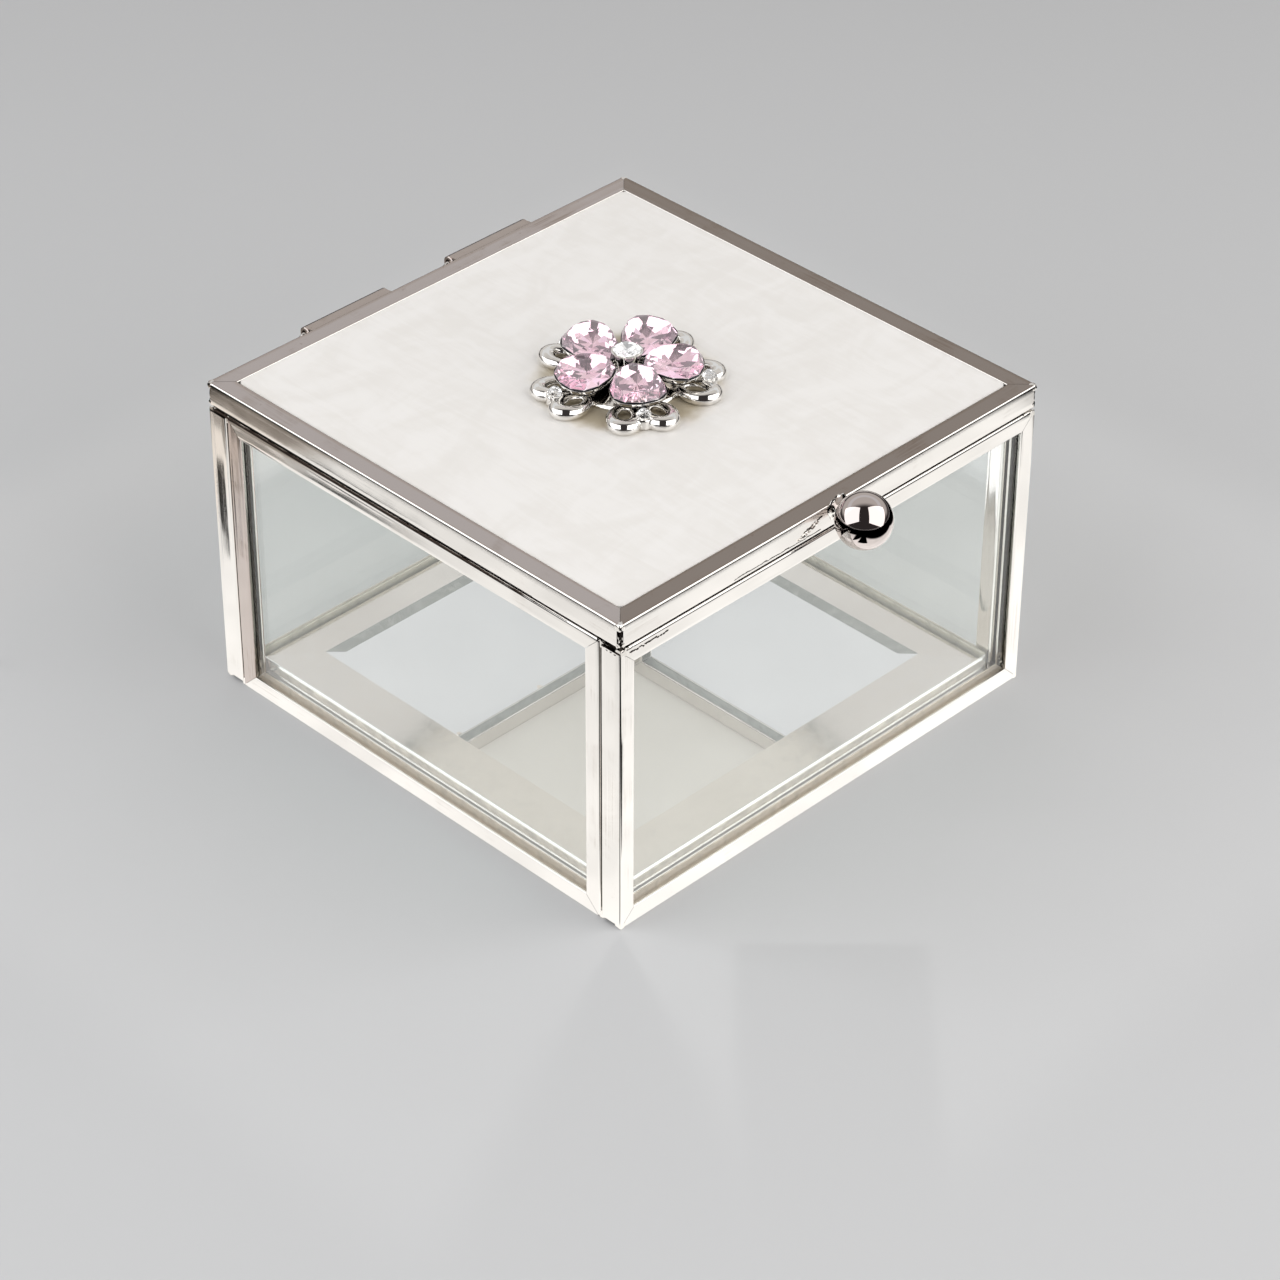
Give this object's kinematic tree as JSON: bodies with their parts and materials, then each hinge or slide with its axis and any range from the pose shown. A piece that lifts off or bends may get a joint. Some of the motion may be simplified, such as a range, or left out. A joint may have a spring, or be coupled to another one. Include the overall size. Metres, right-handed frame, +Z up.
{
  "type": "vanity trinket box",
  "caption": "Square clear-glass trinket box edged in polished nickel channel, with a mirror floor, an ivory enamel lid on wire hinges, a ball knob and a crystal flower ornament.",
  "frame": {"origin": "middle of the square footprint, on the underside of the felt pad that the box stands on", "axes": "+Z up; the knob faces -Y and the hinges are at +Y; X runs along the front"},
  "size_m": [0.1, 0.1137, 0.0688],
  "materials": {
    "nickel": "polished nickel plate with faint tarnish",
    "glass": "clear, bevelled at the edge",
    "mirror": "clear silvered mirror",
    "enamel": "pearly ivory enamel, faintly brushed",
    "liner": "matt cream backing",
    "felt": "black felt",
    "card": "matt black card",
    "pink_crystal": "faceted, foil backed",
    "clear_crystal": "faceted, foil backed"
  },
  "bodies": {
    "box": {"back_bottom_rail": "nickel", "back_left_post": "nickel", "back_pane": "glass", "back_right_post": "nickel", "back_top_rail": "nickel", "felt_pad": "felt", "floor_card": "card", "floor_rail_back": "nickel", "floor_rail_front": "nickel", "floor_rail_left": "nickel", "floor_rail_right": "nickel", "front_bottom_rail": "nickel", "front_left_post": "nickel", "front_pane": "glass", "front_right_post": "nickel", "front_top_rail": "nickel", "left_back_post": "nickel", "left_bottom_rail": "nickel", "left_front_post": "nickel", "left_hinge_wire": "nickel", "left_pane": "glass", "left_top_rail": "nickel", "mirror_floor": "mirror", "right_back_post": "nickel", "right_bottom_rail": "nickel", "right_front_post": "nickel", "right_hinge_wire": "nickel", "right_pane": "glass", "right_top_rail": "nickel"},
    "lid": {"accent_stone_1": "clear_crystal", "accent_stone_2": "clear_crystal", "accent_stone_3": "clear_crystal", "accent_stone_4": "clear_crystal", "accent_stone_5": "clear_crystal", "centre_collet": "nickel", "centre_stone": "clear_crystal", "enamel_panel": "enamel", "filigree_base": "nickel", "knob_ball": "nickel", "knob_collar": "nickel", "left_hinge_tube": "nickel", "lid_liner": "liner", "lid_rail_back": "nickel", "lid_rail_front": "nickel", "lid_rail_left": "nickel", "lid_rail_right": "nickel", "petal_crystal_1": "pink_crystal", "petal_crystal_2": "pink_crystal", "petal_crystal_3": "pink_crystal", "petal_crystal_4": "pink_crystal", "petal_crystal_5": "pink_crystal", "petal_cup_1": "nickel", "petal_cup_2": "nickel", "petal_cup_3": "nickel", "petal_cup_4": "nickel", "petal_cup_5": "nickel", "right_hinge_tube": "nickel"}
  },
  "joints": [
    {"name": "lid_hinge", "type": "hinge", "parent": "box", "child": "lid", "pos_m": [0, 0.0516, 0.0604], "axis": [-1, 0, 0], "range_deg": [0, 110]}
  ]
}
